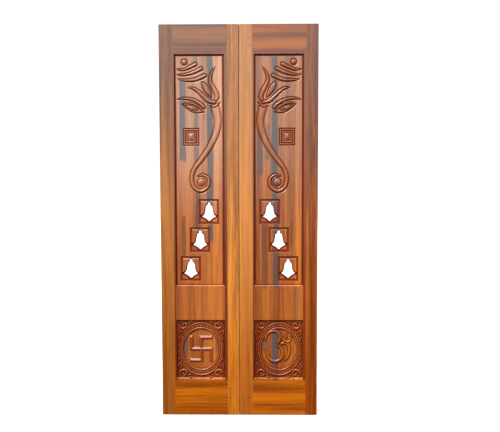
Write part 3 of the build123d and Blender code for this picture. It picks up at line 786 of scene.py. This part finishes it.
def soft_edged(node, width=EDGE):
    """A CAD timber with its edges eased."""
    obj = clean_copy(node)
    finish_modifier(
        obj, "BEVEL", width=width, segments=2, limit_method="ANGLE", angle_limit=math.radians(40)
    )
    smooth_below(obj, TIMBER_SMOOTH)
    return finish_modifier(obj, "WEIGHTED_NORMAL", weight=100, keep_sharp=True)


def finish_piece(obj, node, body, material):
    """Gives a piece its material, and lets it stand for a node and ride with a body."""
    give(obj, material)
    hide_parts(node)
    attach(obj, body)
    return obj


# %% [markdown]
# A carved board is three skins that meet at the recess edges: the flat surround, the upper relief and
# the lower relief. A relief starts as a grid over its recess. Its points are pushed in by the height
# field, its border is pulled back to the board's back face and closed there, and the bells are cut
# through with a boolean. A decimate then thins the flat ground, which needs no detail.

# %% Carved boards
RECESS_LEFT = 77.0
RECESS_WIDTH = 260.0
UPPER_DROP = 151.5
UPPER_HEIGHT = 1209.0
LOWER_DROP = 1542.0
LOWER_HEIGHT = 319.0
UPPER_SPACING = 1.35
LOWER_SPACING = 0.9
UPPER_FACES = 190000
LOWER_FACES = 150000
TONGUE = 10.0
CUTTER_PROUD = 0.01
CARVING_SMOOTH = 42
LEAF_LEFT = {"left": -412.5, "right": 1.5}
LEAF_TOP = 2059.0

board_low, board_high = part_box("left_leaf_carved_board")
face_y = board_low.y
board_back = board_high.y
print("board face", round(face_y, 4), "back", round(board_back, 4))


def subtract(obj, cutter):
    """Cuts the second object out of the first and throws it away."""
    finish_modifier(obj, "BOOLEAN", operation="DIFFERENCE", object=cutter, solver="EXACT")
    bpy.data.objects.remove(cutter)
    return obj


def turn_outward():
    """In edit mode, makes every face look outward."""
    bpy.ops.mesh.select_all(action="SELECT")
    bpy.ops.mesh.normals_make_consistent(inside=False)


def draw_back(obj, depth):
    """Makes a closed solid of a flat outline by drawing it straight back."""
    extrude = bpy.ops.mesh.extrude_region_move
    return edit(
        obj, lambda: extrude(TRANSFORM_OT_translate={"value": (0, depth, 0)}), turn_outward
    )


def places_of(obj):
    """Where the points of a mesh lie, one row each."""
    places = np.empty(len(obj.data.vertices) * 3)
    obj.data.vertices.foreach_get("co", places)
    return places.reshape(-1, 3)


def delete_faces(obj, wanted):
    """Deletes the faces that wanted picks out."""
    for part in [*obj.data.vertices, *obj.data.edges]:
        part.select = False
    for face in obj.data.polygons:
        face.select = wanted(face)
    pick(obj)
    bpy.context.tool_settings.mesh_select_mode = (False, False, True)
    bpy.ops.object.mode_set(mode="EDIT")
    bpy.ops.mesh.delete(type="FACE")
    bpy.ops.mesh.select_mode(type="VERT")
    bpy.ops.object.mode_set(mode="OBJECT")


def lay_on_face(name, left, top, width, height):
    """Fits the sheet just added to a rectangle of the leaf's drawing, on the board's face."""
    obj = bpy.context.object
    obj.name = name
    obj.rotation_euler = (math.radians(90), 0, 0)
    obj.scale = (width * MM, height * MM, 1)
    obj.location = ((left + width / 2) * MM, face_y, (top - height / 2) * MM)
    return settle(obj)


def pull_back(depth):
    """Draws the open border of a skin straight back and closes it."""
    bpy.ops.mesh.select_all(action="DESELECT")
    bpy.ops.mesh.select_mode(type="EDGE")
    bpy.ops.mesh.select_non_manifold()
    bpy.ops.mesh.extrude_edges_move(TRANSFORM_OT_translate={"value": (0, depth, 0)})
    bpy.ops.mesh.edge_face_add()
    turn_outward()


def relief_skin(name, left, top, relief):
    """The grid of a relief, pushed into the board and closed at the back."""
    bpy.ops.mesh.primitive_grid_add(
        x_subdivisions=relief.columns, y_subdivisions=relief.rows, size=1
    )
    obj = lay_on_face(name, left, top, relief.width, relief.tall)
    places = places_of(obj)
    places[:, 1] = face_y - sample(relief, relief.level, places, left, top) * MM
    obj.data.vertices.foreach_set("co", places.ravel())
    obj.data.update()
    return edit(obj, lambda: pull_back(board_back - face_y))


def sample(relief, field, places, left, top):
    """A field of the relief read at these places, in metres."""
    column = np.clip((places[:, 0] / MM - left) / relief.width, 0, 1) * relief.columns
    row = np.clip((top - places[:, 2] / MM) / relief.tall, 0, 1) * relief.rows
    c = np.minimum(column.astype(int), relief.columns - 1)
    r = np.minimum(row.astype(int), relief.rows - 1)
    fc, fr = column - c, row - r
    upper = field[r, c] * (1 - fc) + field[r, c + 1] * fc
    lower = field[r + 1, c] * (1 - fc) + field[r + 1, c + 1] * fc
    return upper * (1 - fr) + lower * fr


def keep_shade_darkening(obj, values):
    """Keeps each point's painted shade and darkening, for the finish."""
    obj.data.attributes.new("hollow", "FLOAT", "POINT").data.foreach_set("value", values)


def mark_shade_darkening(obj, relief, left, top, spacing):
    """Reads the relief's painted shade and darkening at each point, but for those on the back."""
    places = places_of(obj)
    values = sample(relief, relief.hollows(spacing), places, left, top)
    values[places[:, 1] > board_back - 0.002] = 0
    keep_shade_darkening(obj, values)


def thin_out(obj, faces):
    """Decimates a dense skin to a number of triangles."""
    count = sum(len(p.vertices) - 2 for p in obj.data.polygons)
    if count > faces:
        finish_modifier(obj, "DECIMATE", ratio=faces / count)
    return obj


def bell_cutter(left, top, mirror):
    """The three bells as solids that pass right through the board."""
    cutters = []
    for centre in BELL_PLACES:
        outline = bell_outline(centre)
        bpy.ops.mesh.primitive_circle_add(vertices=len(outline), radius=1, fill_type="NGON")
        obj = bpy.context.object
        for vertex, (u, v) in zip(obj.data.vertices, outline):
            across = RECESS_WIDTH - u if mirror else u
            vertex.co = ((left + across) * MM, face_y - CUTTER_PROUD, (top - DATUM - v) * MM)
        cutters.append(draw_back(obj, board_back - face_y + 2 * CUTTER_PROUD))
    pick(*cutters)
    bpy.ops.object.join()
    return bpy.context.object


def surround(name, side):
    """The flat of the board round both recesses."""
    low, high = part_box(f"{side}_leaf_carved_board")
    left, right = low.x / MM + TONGUE, high.x / MM - TONGUE
    top, bottom = high.z / MM - TONGUE, low.z / MM + TONGUE
    inner = LEAF_LEFT[side] + RECESS_LEFT
    bpy.ops.mesh.primitive_plane_add(size=1)
    obj = lay_on_face(name, left, top, right - left, top - bottom)
    lines_x = (inner, inner + RECESS_WIDTH)
    lines_z = (
        LEAF_TOP - UPPER_DROP, LEAF_TOP - UPPER_DROP - UPPER_HEIGHT,
        LEAF_TOP - LOWER_DROP, LEAF_TOP - LOWER_DROP - LOWER_HEIGHT,
    )
    cuts = [((x * MM, 0, 0), (1, 0, 0)) for x in lines_x]
    cuts += [((0, 0, z * MM), (0, 0, 1)) for z in lines_z]

    def cut_all():
        for place, normal in cuts:
            bpy.ops.mesh.select_all(action="SELECT")
            bpy.ops.mesh.bisect(plane_co=place, plane_no=normal)

    edit(obj, cut_all)

    def over_recess(face):
        x, z = face.center.x / MM, face.center.z / MM
        in_upper = lines_z[1] < z < lines_z[0]
        in_lower = lines_z[3] < z < lines_z[2]
        return lines_x[0] < x < lines_x[1] and (in_upper or in_lower)

    delete_faces(obj, over_recess)
    return draw_back(obj, board_back - face_y)


def carved_board(side, symbol, mirror, material):
    """All three skins of one leaf's board."""
    body, node = f"{side}_leaf", f"{side}_leaf_carved_board"
    left = LEAF_LEFT[side] + RECESS_LEFT
    flat = surround(f"{side}_board_surround", side)
    keep_shade_darkening(flat, np.zeros(len(flat.data.vertices)))

    relief = upper_relief(RECESS_WIDTH, UPPER_HEIGHT, UPPER_SPACING, mirror)
    top = LEAF_TOP - UPPER_DROP
    upper = relief_skin(f"{side}_board_upper_carving", left, top, relief)
    subtract(upper, bell_cutter(left, top, mirror))
    thin_out(upper, UPPER_FACES)
    mark_shade_darkening(upper, relief, left, top, UPPER_SPACING)

    relief = lower_relief(RECESS_WIDTH, LOWER_HEIGHT, LOWER_SPACING, symbol)
    top = LEAF_TOP - LOWER_DROP
    lower = relief_skin(f"{side}_board_lower_carving", left, top, relief)
    thin_out(lower, LOWER_FACES)
    mark_shade_darkening(lower, relief, left, top, LOWER_SPACING)

    for obj in (flat, upper, lower):
        smooth_below(obj, CARVING_SMOOTH)
        finish_piece(obj, node, body, material)
        print(obj.name, len(obj.data.polygons), "faces")


# %% [markdown]
# The boards are glued up from narrow staves of mixed teak, and some carry blue-grey streaks down the
# board. A streak is a band in the drawing's millimetres, made ragged by noise along the grain, and is
# weaker on the strokes. Cuts get painted shade, where varnish also pools, and steep walls get the
# darkest painted shade. Each board has a painted sheen that makes it paler towards the top. The flat
# margins beside the recesses are toned like the timbers round them.

# %% Board finish
STREAK_BLUE = colour(76, 82, 84)
STREAK_BROWN = colour(78, 40, 24)
CUT_SHADE_COLOUR = colour(112, 34, 10)
WALL_SHADE_COLOUR = colour(70, 22, 8)
BOARD_SHARES = (0.3, 0.52, 0.14)
BOARD_RIDGES = 0.2
SHEEN_FROM, SHEEN_TO = 0.95, 1.55
MARGIN_BLUR = 0.0004
STAVE = 46.0
STAVE_CONTRAST = 0.45
RAGGED_STRETCH = (1.0, 1.0, 0.06)
RAGGED_SCALE = 95.0
RAGGED_SIDES, RAGGED_ENDS = 22.0, 60.0
SOFT_SIDES, SOFT_ENDS = 3.0, 14.0
STREAKS = {
    "left": (
        (26, 60, 133, 546, 0.75, 1),
        (100, 126, 271, 556, 0.6, 1),
        (98, 124, 5, 57, 0.5, 1),
        (169, 201, 7, 964, 0.85, 0.9),
        (106, 134, 685, 909, 0.7, 0.35),
        (34, 56, 834, 1055, 0.55, 0.2),
        (36, 62, 1482, 1585, 0.75, 0.9),
        (208, 228, 1472, 1565, 0.6, 0.6),
        (104, 126, 1498, 1523, 0.5, 0.8),
    ),
    "right": (
        (92, 124, 7, 754, 0.85, 0.8),
        (98, 132, 744, 1212, 0.8, 0.5),
        (18, 46, 389, 625, 0.75, 0.6),
        (57, 86, 349, 546, 0.5, 0.7),
        (40, 74, 864, 1212, 0.6, 0.15),
        (160, 182, 7, 252, 0.35, 0.8),
        (188, 204, 864, 995, 0.4, 0.2),
        (95, 124, 1446, 1637, 0.95, 0.9),
        (44, 82, 1493, 1554, 0.55, 0.8),
        (96, 128, 1637, 1715, 0.5, 0.3),
        (206, 236, 1207, 1411, 0.45, 0.2),
    ),
}


def carved_teak(side, low_tones, sheen_tones, seed):
    """The finish of one leaf's carved board, with a painted sheen that makes it paler and greyer towards
    the top.
    """
    made, shader, start = new_material(f"{side}_board_teak")
    noises = grain(start, GRAIN_Z, seed)
    across, _, up = split(start)
    amount = late_wood(noises, *BOARD_SHARES)
    # Painted sheen: each tone turns paler and greyer towards the top.
    painted_sheen = up.step(SHEEN_FROM, SHEEN_TO)
    light, dark = [painted_sheen.mix(low, high) for low, high in zip(low_tones, sheen_tones)]
    left = (LEAF_LEFT[side] + RECESS_LEFT) * MM
    recess_top = (LEAF_TOP - UPPER_DROP) * MM
    below_top = 1.0 - up.step(recess_top - MARGIN_BLUR, recess_top + MARGIN_BLUR)
    inside = across.band(left, left + RECESS_WIDTH * MM, MARGIN_BLUR) * below_top
    margin = painted_by_height(start, (amount * 0.3 + 0.7).mix(*low_tones))
    tone = inside.mix(margin, amount.mix(light, dark))
    stave = start.node(
        "ShaderNodeTexWhiteNoise", {"noise_dimensions": "1D"},
        W=start.maths("FLOOR", (across - left) * (1 / MM / STAVE) + seed),
    )
    tone = (stave * STAVE_CONTRAST).mix(tone, dark)
    ragged = start.stretched(RAGGED_STRETCH).noise(RAGGED_SCALE, roughness=0.65)
    patchy = ragged.step(0.12, 0.5) * 0.5 + 0.55
    hollow = start.node("ShaderNodeAttribute", {"attribute_name": "hollow"}, output=2)
    on_ground = 1.0 - hollow.band(0.19, 0.42, 0.02) * 0.6
    u = (across - left) * (1 / MM) + (ragged - 0.5) * RAGGED_SIDES
    v = (recess_top - DATUM * MM - up) * (1 / MM) + (ragged - 0.5) * RAGGED_ENDS
    for u_from, u_to, v_from, v_to, strength, blue in STREAKS[side]:
        shade = tuple(a * blue + b * (1 - blue) for a, b in zip(STREAK_BLUE, STREAK_BROWN))
        band = u.band(u_from, u_to, SOFT_SIDES) * v.band(v_from, v_to, SOFT_ENDS)
        tone = (band * (patchy * strength * on_ground)).mix(tone, shade)
    # Painted shade: cuts and channels turn dark red-brown and lose coat.
    tone = hollow.step(0.04, 0.75).mix(tone, CUT_SHADE_COLOUR)
    # Painted shade on steep walls that face sideways: the darkest, and without coat.
    wall_shade = 1.0 - facing(start, 1).step(0.2, 0.5)
    coat = (1.0 - hollow * 0.85) * (1.0 - wall_shade)
    varnish(shader, start, noises, wall_shade.mix(tone, WALL_SHADE_COLOUR), coat, BOARD_RIDGES)
    return made


# %% [markdown]
# Now the timbers and the carved board of each leaf are made. The hinge stiles are of darker wood than
# the meeting stiles, and the grain of the rails runs crosswise.

# %% Leaves
TIMBERS = {
    "left_leaf_hinge_stile": ((179, 111, 47), (85, 44, 15), GRAIN_Z, 3.1),
    "left_leaf_meeting_stile": ((243, 159, 62), (139, 76, 21), GRAIN_Z, 11.7),
    "left_leaf_top_rail": ((171, 101, 45), (102, 53, 24), GRAIN_X, 5.3),
    "left_leaf_bottom_rail": ((230, 141, 11), (142, 73, 3), GRAIN_X, 19.1),
    "right_leaf_hinge_stile": ((201, 104, 13), (95, 41, 3), GRAIN_Z, 23.9),
    "right_leaf_meeting_stile": ((207, 132, 56), (123, 66, 19), GRAIN_Z, 31.3),
    "right_leaf_top_rail": ((186, 98, 19), (115, 52, 6), GRAIN_X, 37.7),
    "right_leaf_bottom_rail": ((224, 136, 20), (138, 70, 6), GRAIN_X, 41.9),
}
for node, (light, dark, stretch, seed) in TIMBERS.items():
    gap_shaded = node.endswith("meeting_stile")
    material = teak(f"{node}_teak", colour(*light), colour(*dark), stretch, seed, gap_shaded)
    finish_piece(soft_edged(node), node, node[:node.index("_leaf") + 5], material)

# Per board: light and dark tones low down, the same tones with painted sheen high up, and a seed.
BOARDS = {
    "left": (((199, 116, 46), (104, 45, 20)), ((201, 148, 113), (127, 81, 60)), 7.7),
    "right": (((212, 122, 40), (102, 43, 16)), ((192, 128, 84), (120, 71, 46)), 13.3),
}
left_teak, right_teak = [
    carved_teak(side, [colour(*c) for c in low], [colour(*c) for c in high], seed)
    for side, (low, high, seed) in BOARDS.items()
]
carved_board("left", "swastika", False, left_teak)
carved_board("right", "om", True, right_teak)


# %% [markdown]
# The square pegs that lock the tenons show their end grain: dark, fine and a little duller.

# %% Pegs
peg_wood, shader, start = new_material("peg_end_grain")
pores = start.node("ShaderNodeTexVoronoi", Vector=start, Scale=900.0)
plug(
    shader,
    Base_Color=pores.step(0.2, 0.6).mix(colour(58, 26, 14), colour(92, 46, 22)),
    Roughness=0.4 + pores * 0.2,
    Coat_Weight=0.8,
    Coat_Roughness=0.2,
)
for side in ("left", "right"):
    give(frame["nodes"][f"{side}_leaf_joint_pegs"], peg_wood)

# %% [markdown]
# The frame behind is plain, thinner varnished teak, made as the leaf timbers are.

# %% Frame
FRAME_TIMBERS = {
    "frame_left_jamb": (GRAIN_Z, 47.1),
    "frame_right_jamb": (GRAIN_Z, 53.3),
    "frame_head": (GRAIN_X, 59.9),
    "frame_sill": (GRAIN_X, 61.7),
}
for node, (stretch, seed) in FRAME_TIMBERS.items():
    material = teak(f"{node}_teak", colour(176, 108, 58), colour(128, 70, 34), stretch, seed)
    finish_piece(soft_edged(node, FRAME_EDGE), node, "frame", material)

# %% [markdown]
# The hinges are brass, brushed along the plate and dulled by handling, with steel pins. The plates get
# their brass in the next step, once their screw holes are cut.

# %% Hinge metal
def metal(name, bright, dull, stretch, roughness):
    """A brushed metal with a film of tarnish."""
    made, shader, start = new_material(name)
    brushed = start.stretched(stretch).noise(900.0, detail=2.0)
    film = start.noise(55.0, detail=4.0)
    plug(
        shader,
        Base_Color=film.step(0.42, 0.7).mix(bright, dull),
        Metallic=1.0,
        Roughness=roughness + brushed * 0.14 + film * 0.1,
    )
    return made


brass = metal("hinge_brass", colour(212, 176, 104), colour(150, 112, 60), (1, 1, 0.05), 0.22)
steel = metal("pin_steel", colour(186, 186, 188), colour(128, 124, 120), (1, 1, 0.05), 0.24)
for node, obj in frame["nodes"].items():
    if node.endswith("_pin"):
        give(obj, steel)

# %% [markdown]
# Each plate takes three countersunk brass screws with crossed slots. The sinkings are cut into a copy
# of the plate, and the heads stop just short of its face, so the two plates still fold together.

# %% Screws
HEAD_RADIUS = 4.0
SHANK_RADIUS = 2.0
HEAD_DEPTH = 2.0
HEAD_SUNK = 0.08
SINKING_CLEARANCE = 0.15
SINKING_DEPTH = 2.2
SINKING_PROUD = 0.02
HEAD_SLOTS = ((4.6, 0.8, 2.0), (0.8, 4.6, 2.0))
SCREW_INSET = 13.0
SCREW_HEIGHTS = (15.0, 50.0, 85.0)
SLIT = 0.5


def cone(foot_radius, top_radius, depth):
    """A cone with its top face in the XY plane, sizes in millimetres."""
    bpy.ops.mesh.primitive_cone_add(
        vertices=32, radius1=foot_radius * MM, radius2=top_radius * MM, depth=depth * MM,
        location=(0, 0, -depth / 2 * MM),
    )
    return settle(bpy.context.object)


def screw_head():
    """One head with its crossed slots, looking up from the origin."""
    head = cone(SHANK_RADIUS, HEAD_RADIUS, HEAD_DEPTH)
    for size in HEAD_SLOTS:
        bpy.ops.mesh.primitive_cube_add(size=1)
        slot = bpy.context.object
        slot.scale = [part * MM for part in size]
        subtract(head, settle(slot))
    return head


def set_in_plate(pattern, x, foot, face, outward):
    """Copies of a pattern at a plate's three screw places, joined."""
    copies = []
    for height in SCREW_HEIGHTS:
        pick(pattern)
        bpy.ops.object.duplicate()
        made = bpy.context.object
        made.rotation_euler = (math.radians(-90 if outward > 0 else 90), 0, 0)
        made.location = (x, face, foot + height * MM)
        copies.append(settle(made))
    pick(*copies)
    bpy.ops.object.join()
    return bpy.context.object


head = screw_head()
sinking = cone(SHANK_RADIUS + SINKING_CLEARANCE, HEAD_RADIUS + SINKING_CLEARANCE, SINKING_DEPTH)
for node in [name for name in frame["nodes"] if name.endswith("_plate")]:
    low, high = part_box(node)
    body = "frame" if node.endswith("frame_plate") else node[:node.index("_")] + "_leaf"
    outward = -1 if body == "frame" else 1
    face = (low.y + high.y) / 2 - outward * SLIT / 2 * MM
    x = high.x - SCREW_INSET * MM if node.startswith("left") else low.x + SCREW_INSET * MM
    holes = set_in_plate(sinking, x, low.z, face + outward * SINKING_PROUD * MM, outward)
    finish_piece(subtract(clean_copy(node), holes), node, body, brass)
    screws = set_in_plate(head, x, low.z, face - outward * HEAD_SUNK * MM, outward)
    screws.name = node.replace("plate", "screws")
    give(screws, brass)
    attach(screws, body)
bpy.data.objects.remove(head)
bpy.data.objects.remove(sinking)

# %% [markdown]
# The door stands on a plain pale floor, which neither shows in the varnish nor lights the carving from
# below.

# %% Floor
FLOOR_SIZE = 30.0
bpy.ops.mesh.primitive_plane_add(size=FLOOR_SIZE)
floor = bpy.context.object
floor.name = "floor"
floor_paint, shader, start = new_material("floor_paint")
plug(shader, Base_Color=colour(250, 250, 250), Roughness=0.6)
give(floor, floor_paint)
floor.visible_glossy = False
floor.visible_diffuse = False

# %% [markdown]
# A soft panel high at the left models the relief, a weak one in front fills the hollows, the sky
# overhead catches every ledge, and a row of cooler strips shows only as sheen on the varnish.

# %% Light
def soft_panel(name, place, target, size, power, tint):
    """A rectangular light aimed at a point."""
    bpy.ops.object.light_add(type="AREA", location=place)
    lamp = bpy.context.object
    lamp.name = name
    lamp.data.shape = "RECTANGLE"
    lamp.data.size, lamp.data.size_y = size
    lamp.data.energy = power
    lamp.data.color = tint
    aim = Vector(target) - Vector(place)
    lamp.rotation_euler = aim.to_track_quat("-Z", "Y").to_euler()
    return lamp


DOOR_MIDDLE = (0, 0, 1.03)
soft_panel("key_panel", (-4.2, -7.6, 9.4), DOOR_MIDDLE, (4.4, 4.4), 1950, (1.0, 0.96, 0.9))
front = soft_panel("fill_panel", (0.1, -1.9, 0.9), (0, 0, 0.9), (1.6, 1.6), 12, (1.0, 0.94, 0.86))
front.visible_glossy = False
front.visible_camera = False
SKY_FOOT = 0.55
SKY_STRIP = 0.75
SKY_POWERS = (7, 20, 31, 39, 45)
for i, power in enumerate(SKY_POWERS):
    height = SKY_FOOT + SKY_STRIP * (i + 0.5)
    strip = soft_panel(
        f"sky_strip_{i}", (0, -5.2, height), (0, 0, 1.4), (7.0, SKY_STRIP), power, (0.62, 0.84, 1.0)
    )
    strip.visible_diffuse = False

world = bpy.data.worlds.new("pale_room")
bpy.context.scene.world = world
world.use_nodes = True
backdrop = world.node_tree.nodes["Background"]
room = Wire(world.node_tree, world.node_tree.nodes.new("ShaderNodeTexCoord").outputs["Generated"])
_, forward, up = split(room)
DARK_GROUND = (0.03, 0.025, 0.02, 1)
BEHIND_CAMERA = (0.12, 0.12, 0.13, 1)
BEHIND_DOOR = (1.12, 1.12, 1.12, 1)
OVERHEAD = (2.6, 2.6, 2.7, 1)
shade = up.step(-0.05, 0.25).mix(DARK_GROUND, BEHIND_CAMERA)
shade = up.step(0.35, 0.85).mix(shade, OVERHEAD)
shade = forward.step(0.0, 0.2).mix(shade, BEHIND_DOOR)
world.node_tree.links.new(shade.socket, backdrop.inputs["Color"])

# %% [markdown]
# The camera stands about three metres in front of the door at chest height and looks slightly down, as
# worked out from how the leaves narrow towards the floor in the photograph.

# %% Camera
IMAGE_WIDTH = 500
FOCAL_PIXELS = 560.8
SENSOR = 36.0
CAMERA_PLACE = (0.092, -3.0, 1.250)
PITCH, YAW, ROLL = -3.51, 0.67, -0.11
bpy.ops.object.camera_add(location=CAMERA_PLACE)
camera = bpy.context.object
camera.data.sensor_width = SENSOR
camera.data.lens = FOCAL_PIXELS / IMAGE_WIDTH * SENSOR
camera.rotation_euler = (
    Matrix.Rotation(math.radians(YAW), 3, "Z")
    @ Matrix.Rotation(math.radians(90 + PITCH), 3, "X")
    @ Matrix.Rotation(math.radians(ROLL), 3, "Z")
).to_euler()
bpy.context.scene.camera = camera
bpy.context.scene.view_settings.view_transform = "Standard"
